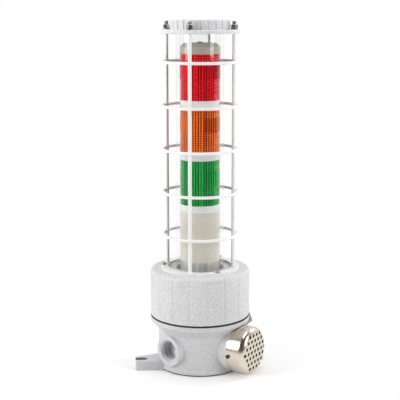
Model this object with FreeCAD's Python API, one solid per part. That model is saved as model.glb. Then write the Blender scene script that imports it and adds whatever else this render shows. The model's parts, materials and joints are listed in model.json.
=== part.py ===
import FreeCAD, Part
import math
import os

# Explosion-proof warning light: a cast junction box with a sounder, a screw-on cover that carries
# the glass tube, wire guard and top cap, and a three-colour signal tower inside the glass.
# Millimetres. The origin is the centre of the housing's underside, +Z is up and the slots of the two
# fixing lugs run along X. Angles are in degrees, counted from the front (-Y) towards the right (+X).

V = FreeCAD.Vector
ORIGIN = V(0, 0, 0)
UP = V(0, 0, 1)

# General clearances
SLIP_GAP = 0.3
THREAD_GAP = 0.3
TAP_GAP = 0.05
HOLE_GAP = 0.3

# Screw heads and their recesses, as multiples of the shank's radius
PAN_WIDE_RATIO = 1.8
PAN_TALL_RATIO = 1.3
HEX_WIDE_RATIO = 3.2
HEX_TALL_RATIO = 1.3
CROSS_L_RATIO = 2.0
CROSS_W_RATIO = 0.5
SLOT_CUT_W_RATIO = 0.35
SLOT_CUT_DEPTH_RATIO = 0.5

# Base housing
BODY_R = 53.4
FOOT_STEP = 0.9
FOOT_H = 6.0
FOOT_CHAMFER = 1.5
WALL_T = 5.0
FLOOR_T = 6.0
FLANGE_RIM_H = 6.0
FLARE_H = 10.5
FLARE_COVE = 6.0
CAST_EDGE_R = 1.2
BASE_H = 67.0
NECK_WALL_T = 6.6
NECK_H = 16.0

# Conduit entry
ENTRY_ANGLE = -48.0
ENTRY_Z = 29.5
ENTRY_BOSS_R = 19.5
ENTRY_FLARE = 11.0
ENTRY_BORE_R = 13.22
ENTRY_PROUD = 3.6
ENTRY_THREAD_L = 16.0
ENTRY_CHAMFER = 1.2
BOSS_BITE = 1.0

# Sounder
SOUNDER_ANGLE = 55.0
SOUNDER_Z = 30.6
SOUNDER_PROUD = 2.6
SOUNDER_FLARE = 8.0
SPIGOT_L = 14.0
CAP_R = 30.0
CAP_T = 1.0
CAP_L = 25.5
CAP_EDGE_R = 8.0
CAP_RELIEF_GAP = 1.0
SOUNDER_BORE_R = 24.0
SOUNDER_PASS_R = 20.0
SOUNDER_SINK = 4.0
SOUNDER_L = 12.0
SOUNDER_TAIL_L = 9.0
HORN_MOUTH_R = 18.0
HORN_THROAT_R = 5.0
HORN_DEPTH = 9.0
ARRESTOR_R = 26.0
ARRESTOR_T = 3.0
RETAINER_T = 2.5
RETAINER_HOLE_R = 22.0
SPANNER_HOLE_R = 1.0
PERF_RINGS = 3
PERF_PITCH = 8.0
PERF_R = 2.3
CAP_SCREW_COUNT = 2
CAP_SCREW_R = 1.5
CAP_SCREW_L = 4.5
CAP_SCREW_INSET = 3.4
CAP_SCREW_ANGLE = 5.0

# Fixing lugs
LUG_REACH = 83.6
LUG_ROOT = 40.0
LUG_OFFSET = 17.0
LUG_TIP_W = 19.0
LUG_FLARE_ANGLE = 21.0
LUG_T = 12.5
LUG_CORNER_R = 2.5
SLOT_W = 9.0
SLOT_END = 68.2

# Cover lock tab and screw
LOCK_ANGLE = 112.0
LOCK_W = 8.0
LOCK_DROP = 18.8
LOCK_KNEE = 3.0
LOCK_SLANT = 14.0
LOCK_RISE = 9.0
LOCK_FOOT_T = 11.6
LOCK_TOP_T = 3.0
LOCK_GAP = 0.6
LOCK_SCREW_R = 1.5
LOCK_SCREW_RISE = 4.2
LOCK_SCREW_L = 4.5

# Cover and its gasket
GASKET_T = 1.4
GASKET_INSET = 0.8
GASKET_NECK_GAP = 0.6
COVER_SKIRT_T = 7.9
COVER_H = 60.1
COVER_TOP_T = 8.0
COVER_SHOULDER_R = 4.5
COVER_THREAD_STEP = 3.3
THREAD_RELIEF_H = 3.0
GRIP_COUNT = 18
GRIP_ANGLE = 5.5
GRIP_R = 4.0
GRIP_DEPTH = 0.6
GRIP_RIM_H = 6.5

# Glass tube and its seals
GLASS_R = 30.0
GLASS_T = 4.0
GLASS_GAP = 0.4
GLASS_SEAT_DEPTH = 18.0
SEAL_T = 2.0
LEDGE_T = 4.0
LEDGE_GAP = 1.5
COLLAR_T = 6.0

# Wire guard
GUARD_H = 295.0
FOOT_RING_R = 50.0
FOOT_RING_HOLE_R = 40.5
FOOT_RING_T = 3.0
FOOT_SCREW_PCR = 46.2
FOOT_SCREW_ANGLES = (-95.0, 25.0, 145.0)
FOOT_SCREW_R = 2.0
FOOT_SCREW_L = 8.0
ROD_COUNT = 4
ROD_ANGLE = -19.4
ROD_PCR = 43.4
ROD_R = 2.25
RING_COUNT = 5
RING_R = 45.9
RING_WIRE_R = 1.9
RING_FIRST_H = 43.8
RING_PITCH = 54.2

# Top cap and the rod nuts
CAP_FLANGE_R = 49.0
CAP_FLANGE_T = 4.8
DRUM_R = 37.2
DRUM_H = 11.7
DRUM_CEILING_T = 5.0
GLASS_SOCKET_DEPTH = 7.5
FLUTE_COUNT = 24
FLUTE_ANGLE = 12.0
FLUTE_R = 2.0
FLUTE_DEPTH = 0.9
STUD_H = 10.7
WASHER_R = 4.6
WASHER_T = 0.9
SPRING_WASHER_R = 4.0
SPRING_WASHER_T = 1.2
SPRING_WASHER_SPLIT = 0.8
NUT_FLATS = 8.0
NUT_H = 4.0

# Lamp plate inside the neck
LAMP_PLATE_T = 3.0
LAMP_PLATE_GAP = 0.8
LAMP_PLATE_HOLE_R = 9.0
POST_R = 5.5
POST_INSET = 7.9
POST_ANGLES = (0.0, 120.0, 240.0)
POST_SCREW_R = 2.0
POST_SCREW_L = 10.0

# Signal tower
LAMP_R = 25.0
LAMP_WALL = 2.5
LAMP_BASE_H = 56.2
LAMP_FLANGE_R = 31.0
LAMP_FLANGE_T = 4.0
LAMP_SCREW_PCR = 28.2
LAMP_SCREW_R = 1.5
LAMP_SCREW_ANGLES = (60.0, 180.0, 300.0)
LOWER_BODY_H = 26.4
UPPER_BODY_H = 37.4
WEB_T = 3.0
MODULE_COLOURS = ("green", "amber", "red")
MODULE_RING_H = 8.8
LENS_H = 56.5
LENS_T = 2.6
RIDGE_PITCH = 2.8
RIDGE_DEPTH = 0.9
RIDGE_LOW_COUNT = 9
RIDGE_HIGH_COUNT = 4
RIDGE_INSET = 1.0
LAMP_CAP_H = 13.0
LAMP_CAP_CHAMFER = 4.5
LAMP_CAP_CEILING_T = 6.0
CAP_NUT_RECESS_R = 6.5
CAP_NUT_RECESS = 3.0
CAP_NUT_FLATS = 8.0
CAP_NUT_H = 4.8
CAP_NUT_HEX_H = 2.4
CAP_NUT_DOME_R = 2.1
TIE_ROD_R = 2.5
TIE_ROD_SPARE = 1.5
TIE_NUT_H = 4.0
BOARD_R = 20.0
BOARD_T = 1.6
LED_COLUMN_R = 10.0
LED_COLUMN_GAP = 3.0
LED_FACES = 8
LED_ROWS = 3
LED_SIZE = 4.0
LED_T = 1.5
LED_FIRST_H = 12.0
LED_PITCH = 15.0
CHIP_COUNT = 5
CHIP_PCR = 13.0
CHIP_SIZE = 6.0
CHIP_H = 4.0

# Terminal block and earth screws
POLE_COUNT = 6
POLE_PITCH = 8.0
BLOCK_D = 18.0
BLOCK_H = 16.0
BLOCK_Y = 8.0
BLOCK_EAR_L = 7.0
BLOCK_EAR_W = 8.0
BLOCK_EAR_T = 5.0
POLE_SCREW_R = 2.0
POLE_SCREW_L = 6.0
POLE_WELL = 8.0
WIRE_HOLE_R = 1.8
WIRE_HOLE_Z = 5.0
BLOCK_SCREW_R = 1.5
BLOCK_SCREW_DEPTH = 4.0
EARTH_SCREW_R = 2.5
EARTH_SCREW_DEPTH = 6.0
EARTH_WASHER_T = 1.0
EARTH_PAD_R = 7.0
EARTH_PAD_H = 3.0
EARTH_INNER_X = 20.0
EARTH_INNER_Y = -16.0
EARTH_OUTER_ANGLE = 180.0
EARTH_OUTER_Z = 25.0
EARTH_OUTER_PROUD = 3.1

# Levels and radii that follow from the sizes above
COVER_Z = BASE_H + GASKET_T
COVER_TOP = COVER_Z + COVER_H
NECK_TOP = BASE_H + NECK_H
LOCK_SCREW_Z = BASE_H + LOCK_SCREW_RISE
FOOT_R = BODY_R + FOOT_STEP
CHAMBER_R = BODY_R - WALL_T
NECK_R = CHAMBER_R + NECK_WALL_T
THREAD_R = NECK_R + THREAD_GAP
COVER_R = THREAD_R + COVER_SKIRT_T
COVER_CAVITY_R = THREAD_R - COVER_THREAD_STEP
POST_PCR = CHAMBER_R - POST_INSET
POST_TOP = NECK_TOP - LAMP_PLATE_T
SOCKET_R = GLASS_R + GLASS_GAP
GLASS_Z = COVER_TOP - GLASS_SEAT_DEPTH
LEDGE_Z = GLASS_Z - SEAL_T
LEDGE_R = LAMP_R + LEDGE_GAP
FOOT_RING_TOP = COVER_TOP + FOOT_RING_T
CAP_Z = COVER_TOP + GUARD_H
CAP_FLANGE_TOP = CAP_Z + CAP_FLANGE_T
CAP_TOP = CAP_FLANGE_TOP + DRUM_H
SOCKET_TOP = CAP_Z + GLASS_SOCKET_DEPTH
GLASS_TOP = SOCKET_TOP - SEAL_T
LAMP_BORE_R = LAMP_R - LAMP_WALL
LOWER_BODY_Z = NECK_TOP + LAMP_BASE_H
UPPER_BODY_Z = LOWER_BODY_Z + LOWER_BODY_H
MODULE_Z = UPPER_BODY_Z + UPPER_BODY_H
MODULE_H = MODULE_RING_H + LENS_H
LAMP_CAP_Z = MODULE_Z + len(MODULE_COLOURS) * MODULE_H
LAMP_TOP = LAMP_CAP_Z + LAMP_CAP_H
TIE_HOLE_R = TIE_ROD_R + HOLE_GAP
CAP_NUT_Z = LAMP_TOP - CAP_NUT_RECESS
TIE_NUT_Z = LOWER_BODY_Z - WEB_T - TIE_NUT_H
CAP_BORE_R = CAP_R - CAP_T
SPIGOT_R = CAP_BORE_R - SLIP_GAP
SOUNDER_SEAT = BODY_R + SOUNDER_PROUD
SOUNDER_LEDGE = SOUNDER_SEAT - SOUNDER_SINK
ARRESTOR_SEAT = SOUNDER_LEDGE + SOUNDER_L
RETAINER_SEAT = ARRESTOR_SEAT + ARRESTOR_T
BLOCK_L = POLE_COUNT * POLE_PITCH
ENTRY_FACE = BODY_R + ENTRY_PROUD
ENTRY_INNER = ENTRY_FACE - ENTRY_THREAD_L
EARTH_OUTER_FACE = BODY_R + EARTH_OUTER_PROUD


def polar(radius, angle, z=0.0):
    """Point at a radius and an angle from the front."""
    a = math.radians(angle)
    return V(radius * math.sin(a), -radius * math.cos(a), z)


def corner(u, v, radius=0.0):
    """Corner of an outline, sharp unless a radius is given."""
    return (V(u, v, 0), radius)


def rounded_wire(corners, place):
    """Closed outline through the corners, with a tangent arc at each rounded one."""
    bends = []
    for i, (here, radius) in enumerate(corners):
        before = corners[i - 1][0] - here
        after = corners[(i + 1) % len(corners)][0] - here
        before.normalize()
        after.normalize()
        if radius == 0:
            bends.append((here, None, here))
            continue
        half = before.getAngle(after) / 2
        reach = radius / math.tan(half)
        inwards = before + after
        inwards.normalize()
        middle = here + inwards * (radius / math.sin(half) - radius)
        bends.append((here + before * reach, middle, here + after * reach))
    edges = []
    for i, (start, middle, end) in enumerate(bends):
        if middle is not None:
            edges.append(Part.Arc(place(start), place(middle), place(end)).toShape())
        following = bends[(i + 1) % len(bends)][0]
        edges.append(Part.LineSegment(place(end), place(following)).toShape())
    return Part.Wire(edges)


def revolve(corners):
    """Solid of revolution about +Z from an outline of radius and height."""
    outline = rounded_wire(corners, lambda p: V(p.x, 0, p.y))
    return Part.Face(outline).revolve(ORIGIN, UP, 360)


def cylinder(radius, z, height):
    """Cylinder about +Z."""
    return Part.makeCylinder(radius, height, V(0, 0, z))


def ring(outer, inner, z, height):
    """Plain ring about +Z."""
    return cylinder(outer, z, height).cut(cylinder(inner, z, height))


def moved(shape, offset):
    """Copy of a shape, shifted."""
    copy = shape.copy()
    copy.translate(offset)
    return copy


def turned(shape, angle):
    """Copy of a shape that was built at the front, turned about +Z to its angle."""
    copy = shape.copy()
    copy.rotate(ORIGIN, UP, angle)
    return copy


def outwards(shape, angle, z):
    """Copy of a shape built along +Z, laid along the horizontal radius at an angle and a height."""
    copy = shape.copy()
    copy.rotate(ORIGIN, V(1, 0, 0), 90)
    return moved(turned(copy, angle), V(0, 0, z))


def around(shape, count, phase=0.0):
    """Copies of a shape built at the front, evenly spaced about +Z."""
    return [turned(shape, phase + 360 * i / count) for i in range(count)]


def at_angles(shape, radius, angles, z=0.0):
    """Copies of a shape built on the axis, set on a circle at the given angles."""
    return [moved(shape, polar(radius, angle, z)) for angle in angles]


def front_box(near, far, width, z, height):
    """Box at the front between two radii."""
    return Part.makeBox(width, far - near, height, V(-width / 2, -far, z))


def hex_prism(flats, z, height):
    """Plain hexagonal prism about +Z."""
    points = [polar(flats / math.sqrt(3), 60 * i, z) for i in range(7)]
    return Part.Face(Part.makePolygon(points)).extrude(V(0, 0, height))


def hexagon(flats, z, height):
    """Hexagonal prism about +Z with its upper corners chamfered."""
    corner_r = flats / math.sqrt(3)
    drop = (corner_r - flats / 2) * math.tan(math.radians(30))
    outline = [
        corner(0, z),
        corner(corner_r, z),
        corner(corner_r, z + height - drop),
        corner(flats / 2, z + height),
        corner(0, z + height),
    ]
    return hex_prism(flats, z, height).common(revolve(outline))


def pan_screw(radius, length):
    """Pan-head screw with a cross recess, shank down, its head seated at z = 0."""
    head_r = PAN_WIDE_RATIO * radius
    head_h = PAN_TALL_RATIO * radius
    head = revolve([corner(0, 0), corner(head_r, 0), corner(head_r, head_h, head_h / 2), corner(0, head_h)])
    recess_l = CROSS_L_RATIO * radius
    recess_w = CROSS_W_RATIO * radius
    for size_x, size_y in ((recess_l, recess_w), (recess_w, recess_l)):
        spot = V(-size_x / 2, -size_y / 2, head_h / 2)
        head = head.cut(Part.makeBox(size_x, size_y, head_h, spot))
    return head.fuse(cylinder(radius, -length, length))


def earth_screw():
    """Hexagon-head earth screw with its washer, shank down, the washer seated at z = 0."""
    washer = cylinder(EARTH_PAD_R - CAST_EDGE_R, 0, EARTH_WASHER_T)
    head = hexagon(HEX_WIDE_RATIO * EARTH_SCREW_R, EARTH_WASHER_T, HEX_TALL_RATIO * EARTH_SCREW_R)
    shank = cylinder(EARTH_SCREW_R, -EARTH_SCREW_DEPTH, EARTH_SCREW_DEPTH)
    return washer.fuse(head).fuse(shank)


def flared_boss(radius, face, flare):
    """Round boss along +Z whose foot widens with a concave curve to meet the round body."""
    wide = radius + flare
    root = math.sqrt((BODY_R - BOSS_BITE) ** 2 - wide**2)
    top = root + flare
    mid = flare * math.sqrt(0.5)
    outline = [
        Part.LineSegment(V(0, 0, root), V(wide, 0, root)),
        Part.Arc(V(wide, 0, root), V(wide - mid, 0, top - mid), V(radius, 0, top)),
        Part.LineSegment(V(radius, 0, top), V(radius, 0, face)),
        Part.LineSegment(V(radius, 0, face), V(0, 0, face)),
        Part.LineSegment(V(0, 0, face), V(0, 0, root)),
    ]
    wire = Part.Wire([piece.toShape() for piece in outline])
    return Part.Face(wire).revolve(ORIGIN, UP, 360)


def lug():
    """Fixing lug at the front, beside the axis, with its open slot for the fixing bolt."""
    near = LUG_OFFSET + LUG_TIP_W / 2
    far = LUG_OFFSET - LUG_TIP_W / 2
    flare = (LUG_REACH - LUG_ROOT) * math.tan(math.radians(LUG_FLARE_ANGLE))
    corners = [
        corner(far - flare, -LUG_ROOT),
        corner(far, -LUG_REACH, LUG_CORNER_R),
        corner(near, -LUG_REACH, LUG_CORNER_R),
        corner(near, -LUG_ROOT),
    ]
    body = Part.Face(rounded_wire(corners, lambda p: p)).extrude(V(0, 0, LUG_T))
    half_way = (LUG_ROOT + LUG_REACH) / 2
    rim = [e for e in body.Edges if e.BoundBox.ZMin > LUG_T / 2 and e.BoundBox.YMin < -half_way]
    body = body.makeFillet(CAST_EDGE_R, rim)
    slot_centre = SLOT_END + SLOT_W / 2
    slot_end = Part.makeCylinder(SLOT_W / 2, LUG_T, polar(slot_centre, 0))
    slot = slot_end.fuse(front_box(slot_centre, LUG_REACH, SLOT_W, 0, LUG_T))
    return body.cut(moved(slot, V(LUG_OFFSET, 0, 0)))


def lock_tab():
    """Cast tab on the flange that carries the cover lock screw, built at the front."""
    root = CHAMBER_R + WALL_T / 2
    foot = BASE_H - LOCK_DROP
    top = BASE_H + LOCK_RISE
    points = [
        V(-LOCK_W / 2, -root, foot - LOCK_SLANT),
        V(-LOCK_W / 2, -(COVER_R + LOCK_FOOT_T), foot),
        V(-LOCK_W / 2, -(COVER_R + LOCK_TOP_T), BASE_H + LOCK_KNEE),
        V(-LOCK_W / 2, -(COVER_R + LOCK_TOP_T), top),
        V(-LOCK_W / 2, -root, top),
    ]
    tab = Part.Face(Part.makePolygon(points + points[:1])).extrude(V(LOCK_W, 0, 0))
    return tab.cut(cylinder(COVER_R + LOCK_GAP, BASE_H, LOCK_RISE))


def sounder_side(shape):
    """Copies of a shape built along +Z, set radially in the side of the sounder cap."""
    side = shape.copy()
    side.rotate(ORIGIN, V(0, 1, 0), -90)
    side.translate(V(0, 0, SOUNDER_SEAT + CAP_SCREW_INSET))
    copies = around(side, CAP_SCREW_COUNT, CAP_SCREW_ANGLE)
    return [outwards(copy, SOUNDER_ANGLE, SOUNDER_Z) for copy in copies]


def block_screw_spots():
    """Centres of the terminal block's two fixing screws, on the housing floor."""
    reach = (BLOCK_L + BLOCK_EAR_L) / 2
    return [V(side * reach, BLOCK_Y, FLOOR_T) for side in (-1, 1)]


def housing_shell():
    """Outside of the casting, still solid."""
    flare_top = BASE_H - FLANGE_RIM_H
    flare_foot = flare_top - FLARE_H
    body = revolve(
        [
            corner(0, 0),
            corner(FOOT_R - FOOT_CHAMFER, 0),
            corner(FOOT_R, FOOT_CHAMFER),
            corner(FOOT_R, FOOT_H, CAST_EDGE_R),
            corner(BODY_R, FOOT_H + FOOT_R - BODY_R),
            corner(BODY_R, flare_foot, FLARE_COVE),
            corner(COVER_R, flare_top, CAST_EDGE_R),
            corner(COVER_R, BASE_H),
            corner(NECK_R, BASE_H),
            corner(NECK_R, NECK_TOP, CAST_EDGE_R),
            corner(0, NECK_TOP),
        ]
    )
    cap_relief = cylinder(CAP_R + CAP_RELIEF_GAP, SOUNDER_SEAT, CAP_L)
    body = body.cut(outwards(cap_relief, SOUNDER_ANGLE, SOUNDER_Z))
    sounder_boss = flared_boss(CAP_R, SOUNDER_SEAT, SOUNDER_FLARE)
    sounder_boss = sounder_boss.fuse(cylinder(SPIGOT_R, SOUNDER_SEAT, SPIGOT_L))
    earth_pad = cylinder(EARTH_PAD_R, CHAMBER_R, EARTH_OUTER_FACE - CHAMBER_R)
    body = body.multiFuse(
        [
            outwards(flared_boss(ENTRY_BOSS_R, ENTRY_FACE, ENTRY_FLARE), ENTRY_ANGLE, ENTRY_Z),
            outwards(sounder_boss, SOUNDER_ANGLE, SOUNDER_Z),
            outwards(earth_pad, EARTH_OUTER_ANGLE, EARTH_OUTER_Z),
            turned(lug(), 90),
            turned(lug(), -90),
            turned(lock_tab(), LOCK_ANGLE),
        ]
    )
    return body.common(cylinder(2 * LUG_REACH, 0, NECK_TOP))


def base_housing():
    """Cast junction box with neck, lugs, conduit entry, sounder boss, posts and lock tab."""
    shell = housing_shell().cut(cylinder(CHAMBER_R, FLOOR_T, NECK_TOP))
    inside = [outwards(cylinder(ENTRY_BOSS_R, ENTRY_INNER, ENTRY_FACE - ENTRY_INNER), ENTRY_ANGLE, ENTRY_Z)]
    inside += at_angles(cylinder(POST_R, 0, POST_TOP), POST_PCR, POST_ANGLES)
    web = front_box(POST_PCR, CHAMBER_R + WALL_T / 2, POST_R, 0, POST_TOP)
    inside += [turned(web, angle) for angle in POST_ANGLES]
    inside.append(moved(cylinder(EARTH_PAD_R, 0, FLOOR_T + EARTH_PAD_H), V(EARTH_INNER_X, EARTH_INNER_Y, 0)))
    shell = shell.multiFuse(inside)

    mouth_r = ENTRY_BORE_R + ENTRY_CHAMFER
    mouth = Part.makeCone(ENTRY_BORE_R, mouth_r, ENTRY_CHAMFER, V(0, 0, ENTRY_FACE - ENTRY_CHAMFER))
    entry = [cylinder(ENTRY_BORE_R, 0, ENTRY_FACE), mouth]
    sounder = [
        cylinder(SOUNDER_PASS_R, 0, SOUNDER_LEDGE),
        cylinder(SOUNDER_BORE_R, SOUNDER_LEDGE, SOUNDER_L),
        cylinder(ARRESTOR_R, ARRESTOR_SEAT, SPIGOT_L),
    ]
    post_hole = cylinder(POST_SCREW_R + TAP_GAP, POST_TOP - POST_SCREW_L, POST_SCREW_L)
    block_hole = cylinder(BLOCK_SCREW_R + TAP_GAP, -BLOCK_SCREW_DEPTH, BLOCK_SCREW_DEPTH)
    earth_hole = cylinder(EARTH_SCREW_R + TAP_GAP, -EARTH_SCREW_DEPTH, EARTH_SCREW_DEPTH)
    outer_earth_hole = moved(earth_hole, V(0, 0, EARTH_OUTER_FACE))
    lock_hole = cylinder(LOCK_SCREW_R + TAP_GAP, COVER_R, LOCK_GAP + LOCK_SCREW_L)
    cuts = [outwards(piece, ENTRY_ANGLE, ENTRY_Z) for piece in entry]
    cuts += [outwards(piece, SOUNDER_ANGLE, SOUNDER_Z) for piece in sounder]
    cuts += sounder_side(cylinder(CAP_SCREW_R + TAP_GAP, CAP_R - CAP_SCREW_L, CAP_SCREW_L))
    cuts += at_angles(post_hole, POST_PCR, POST_ANGLES)
    cuts += [moved(block_hole, spot) for spot in block_screw_spots()]
    cuts.append(moved(earth_hole, V(EARTH_INNER_X, EARTH_INNER_Y, FLOOR_T + EARTH_PAD_H)))
    cuts.append(outwards(outer_earth_hole, EARTH_OUTER_ANGLE, EARTH_OUTER_Z))
    cuts.append(outwards(lock_hole, LOCK_ANGLE, LOCK_SCREW_Z))
    return shell.cut(cuts)


def cover_lock_screw():
    """Slotted grub screw in the lock tab, backed off from the cover."""
    tip = COVER_R + LOCK_GAP
    screw = cylinder(LOCK_SCREW_R, tip, LOCK_SCREW_L)
    slot_w = SLOT_CUT_W_RATIO * LOCK_SCREW_R
    slot_depth = SLOT_CUT_DEPTH_RATIO * LOCK_SCREW_R
    slot_spot = V(-slot_w / 2, -LOCK_SCREW_R, tip + LOCK_SCREW_L - slot_depth)
    screw = screw.cut(Part.makeBox(slot_w, 2 * LOCK_SCREW_R, slot_depth, slot_spot))
    return outwards(screw, LOCK_ANGLE, LOCK_SCREW_Z)


def sounder_body():
    """Piezo sounder with its horn, seated on the ledge of the sounder bore."""
    main = cylinder(SOUNDER_BORE_R - SLIP_GAP / 2, SOUNDER_LEDGE, SOUNDER_L)
    tail = cylinder(SOUNDER_PASS_R - SLIP_GAP, SOUNDER_LEDGE - SOUNDER_TAIL_L, SOUNDER_TAIL_L)
    horn = Part.makeCone(HORN_THROAT_R, HORN_MOUTH_R, HORN_DEPTH, V(0, 0, ARRESTOR_SEAT - HORN_DEPTH))
    return outwards(main.fuse(tail).cut(horn), SOUNDER_ANGLE, SOUNDER_Z)


def flame_arrestor():
    """Sintered disc that lets the sound out and holds a flame in."""
    disc = cylinder(ARRESTOR_R - SLIP_GAP / 2, ARRESTOR_SEAT, ARRESTOR_T)
    return outwards(disc, SOUNDER_ANGLE, SOUNDER_Z)


def sounder_retaining_ring():
    """Threaded ring that holds the flame arrestor, with two spanner holes."""
    body = ring(ARRESTOR_R - TAP_GAP, RETAINER_HOLE_R, RETAINER_SEAT, RETAINER_T)
    hole = cylinder(SPANNER_HOLE_R, RETAINER_SEAT, RETAINER_T)
    body = body.cut(at_angles(hole, (ARRESTOR_R + RETAINER_HOLE_R) / 2, (0, 180)))
    return outwards(body, SOUNDER_ANGLE, SOUNDER_Z)


def sounder_cap():
    """Drawn stainless cap over the sounder, its face perforated in staggered rows of holes."""
    face = SOUNDER_SEAT + CAP_L
    cup = revolve(
        [
            corner(CAP_BORE_R, SOUNDER_SEAT),
            corner(CAP_R, SOUNDER_SEAT),
            corner(CAP_R, face, CAP_EDGE_R),
            corner(0, face),
            corner(0, face - CAP_T),
            corner(CAP_BORE_R, face - CAP_T, CAP_EDGE_R - CAP_T),
        ]
    )
    hole = cylinder(PERF_R, face - CAP_EDGE_R, CAP_EDGE_R)
    holes = []
    for row in range(-PERF_RINGS, PERF_RINGS + 1):
        count = 2 * PERF_RINGS + 1 - abs(row)
        y = row * PERF_PITCH * math.sin(math.radians(60))
        holes += [moved(hole, V((i - (count - 1) / 2) * PERF_PITCH, y, 0)) for i in range(count)]
    cup = outwards(cup.cut(holes), SOUNDER_ANGLE, SOUNDER_Z)
    return cup.cut(sounder_side(cylinder(CAP_SCREW_R + HOLE_GAP, CAP_R - CAP_SCREW_L, CAP_SCREW_L + CAP_T)))


def sounder_cap_screws():
    """Screws through the side of the sounder cap."""
    return sounder_side(moved(pan_screw(CAP_SCREW_R, CAP_SCREW_L), V(0, 0, CAP_R)))


def terminal_block():
    """Terminal block on the housing floor, with wire holes and screw wells."""
    block = Part.makeBox(BLOCK_L, BLOCK_D, BLOCK_H, V(-BLOCK_L / 2, BLOCK_Y - BLOCK_D / 2, FLOOR_T))
    full_l = BLOCK_L + 2 * BLOCK_EAR_L
    ears = Part.makeBox(full_l, BLOCK_EAR_W, BLOCK_EAR_T, V(-full_l / 2, BLOCK_Y - BLOCK_EAR_W / 2, FLOOR_T))
    block = block.fuse(ears)
    cuts = [moved(cylinder(BLOCK_SCREW_R + HOLE_GAP, 0, BLOCK_EAR_T), spot) for spot in block_screw_spots()]
    for x in pole_positions():
        wire_spot = V(x, BLOCK_Y - BLOCK_D / 2, FLOOR_T + WIRE_HOLE_Z)
        cuts.append(Part.makeCylinder(WIRE_HOLE_R, BLOCK_D, wire_spot, V(0, 1, 0)))
        well_spot = V(x, BLOCK_Y, FLOOR_T + BLOCK_H)
        cuts.append(moved(cylinder(POLE_SCREW_R + TAP_GAP, -POLE_WELL, POLE_WELL), well_spot))
    return block.cut(cuts)


def pole_positions():
    """X of each terminal."""
    return [(i + 0.5) * POLE_PITCH - BLOCK_L / 2 for i in range(POLE_COUNT)]


def terminal_screws():
    """Slotted screw in each well of the terminal block."""
    screw = cylinder(POLE_SCREW_R, 0, POLE_SCREW_L)
    slot_w = SLOT_CUT_W_RATIO * POLE_SCREW_R
    slot_depth = SLOT_CUT_DEPTH_RATIO * POLE_SCREW_R
    slot_spot = V(-slot_w / 2, -POLE_SCREW_R, POLE_SCREW_L - slot_depth)
    screw = screw.cut(Part.makeBox(slot_w, 2 * POLE_SCREW_R, slot_depth, slot_spot))
    return [moved(screw, V(x, BLOCK_Y, FLOOR_T + BLOCK_H - POLE_WELL)) for x in pole_positions()]


def terminal_block_screws():
    """Screws that hold the terminal block to the floor."""
    screw = pan_screw(BLOCK_SCREW_R, BLOCK_EAR_T + BLOCK_SCREW_DEPTH)
    return [moved(screw, spot + V(0, 0, BLOCK_EAR_T)) for spot in block_screw_spots()]


def earth_screw_inner():
    """Earth screw on the pad inside the chamber."""
    return moved(earth_screw(), V(EARTH_INNER_X, EARTH_INNER_Y, FLOOR_T + EARTH_PAD_H))


def earth_screw_outer():
    """Earth screw on the pad at the back of the housing."""
    return outwards(moved(earth_screw(), V(0, 0, EARTH_OUTER_FACE)), EARTH_OUTER_ANGLE, EARTH_OUTER_Z)


def lamp_plate():
    """Steel plate on the posts, which carries the signal tower."""
    disc = ring(CHAMBER_R - LAMP_PLATE_GAP, LAMP_PLATE_HOLE_R, POST_TOP, LAMP_PLATE_T)
    post_hole = cylinder(POST_SCREW_R + HOLE_GAP, POST_TOP, LAMP_PLATE_T)
    lamp_hole = cylinder(LAMP_SCREW_R + TAP_GAP, POST_TOP, LAMP_PLATE_T)
    holes = at_angles(post_hole, POST_PCR, POST_ANGLES)
    return disc.cut(holes + at_angles(lamp_hole, LAMP_SCREW_PCR, LAMP_SCREW_ANGLES))


def lamp_plate_screws():
    """Screws that hold the lamp plate to the posts."""
    return at_angles(pan_screw(POST_SCREW_R, POST_SCREW_L + LAMP_PLATE_T), POST_PCR, POST_ANGLES, NECK_TOP)


def lamp_base():
    """Flanged foot of the signal tower."""
    flange_top = NECK_TOP + LAMP_FLANGE_T
    foot = revolve(
        [
            corner(LAMP_BORE_R, NECK_TOP),
            corner(LAMP_FLANGE_R, NECK_TOP),
            corner(LAMP_FLANGE_R, flange_top),
            corner(LAMP_R, flange_top),
            corner(LAMP_R, LOWER_BODY_Z),
            corner(TIE_HOLE_R, LOWER_BODY_Z),
            corner(TIE_HOLE_R, LOWER_BODY_Z - WEB_T),
            corner(LAMP_BORE_R, LOWER_BODY_Z - WEB_T),
        ]
    )
    hole = cylinder(LAMP_SCREW_R + HOLE_GAP, NECK_TOP, LAMP_FLANGE_T)
    return foot.cut(at_angles(hole, LAMP_SCREW_PCR, LAMP_SCREW_ANGLES))


def lamp_base_screws():
    """Screws that hold the tower's foot to the lamp plate."""
    screw = pan_screw(LAMP_SCREW_R, LAMP_FLANGE_T + LAMP_PLATE_T)
    return at_angles(screw, LAMP_SCREW_PCR, LAMP_SCREW_ANGLES, NECK_TOP + LAMP_FLANGE_T)


def tower_cup(z, height):
    """Plastic section of the tower, open at the top, with a web across its foot."""
    return ring(LAMP_R, LAMP_BORE_R, z, height).fuse(ring(LAMP_R, TIE_HOLE_R, z, WEB_T))


def driver_board():
    """Circuit board of the tower, with its components."""
    z = UPPER_BODY_Z + WEB_T
    board = ring(BOARD_R, TIE_HOLE_R, z, BOARD_T)
    chip = front_box(CHIP_PCR - CHIP_SIZE / 2, CHIP_PCR + CHIP_SIZE / 2, CHIP_SIZE, z, BOARD_T + CHIP_H)
    return board.multiFuse(around(chip, CHIP_COUNT))


def module_ring(z):
    """Silver ring under a lens, with the web that carries its LED board."""
    web_z = z + MODULE_RING_H - WEB_T
    return ring(LAMP_R, LAMP_BORE_R, z, MODULE_RING_H).fuse(ring(LAMP_R, TIE_HOLE_R, web_z, WEB_T))


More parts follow.
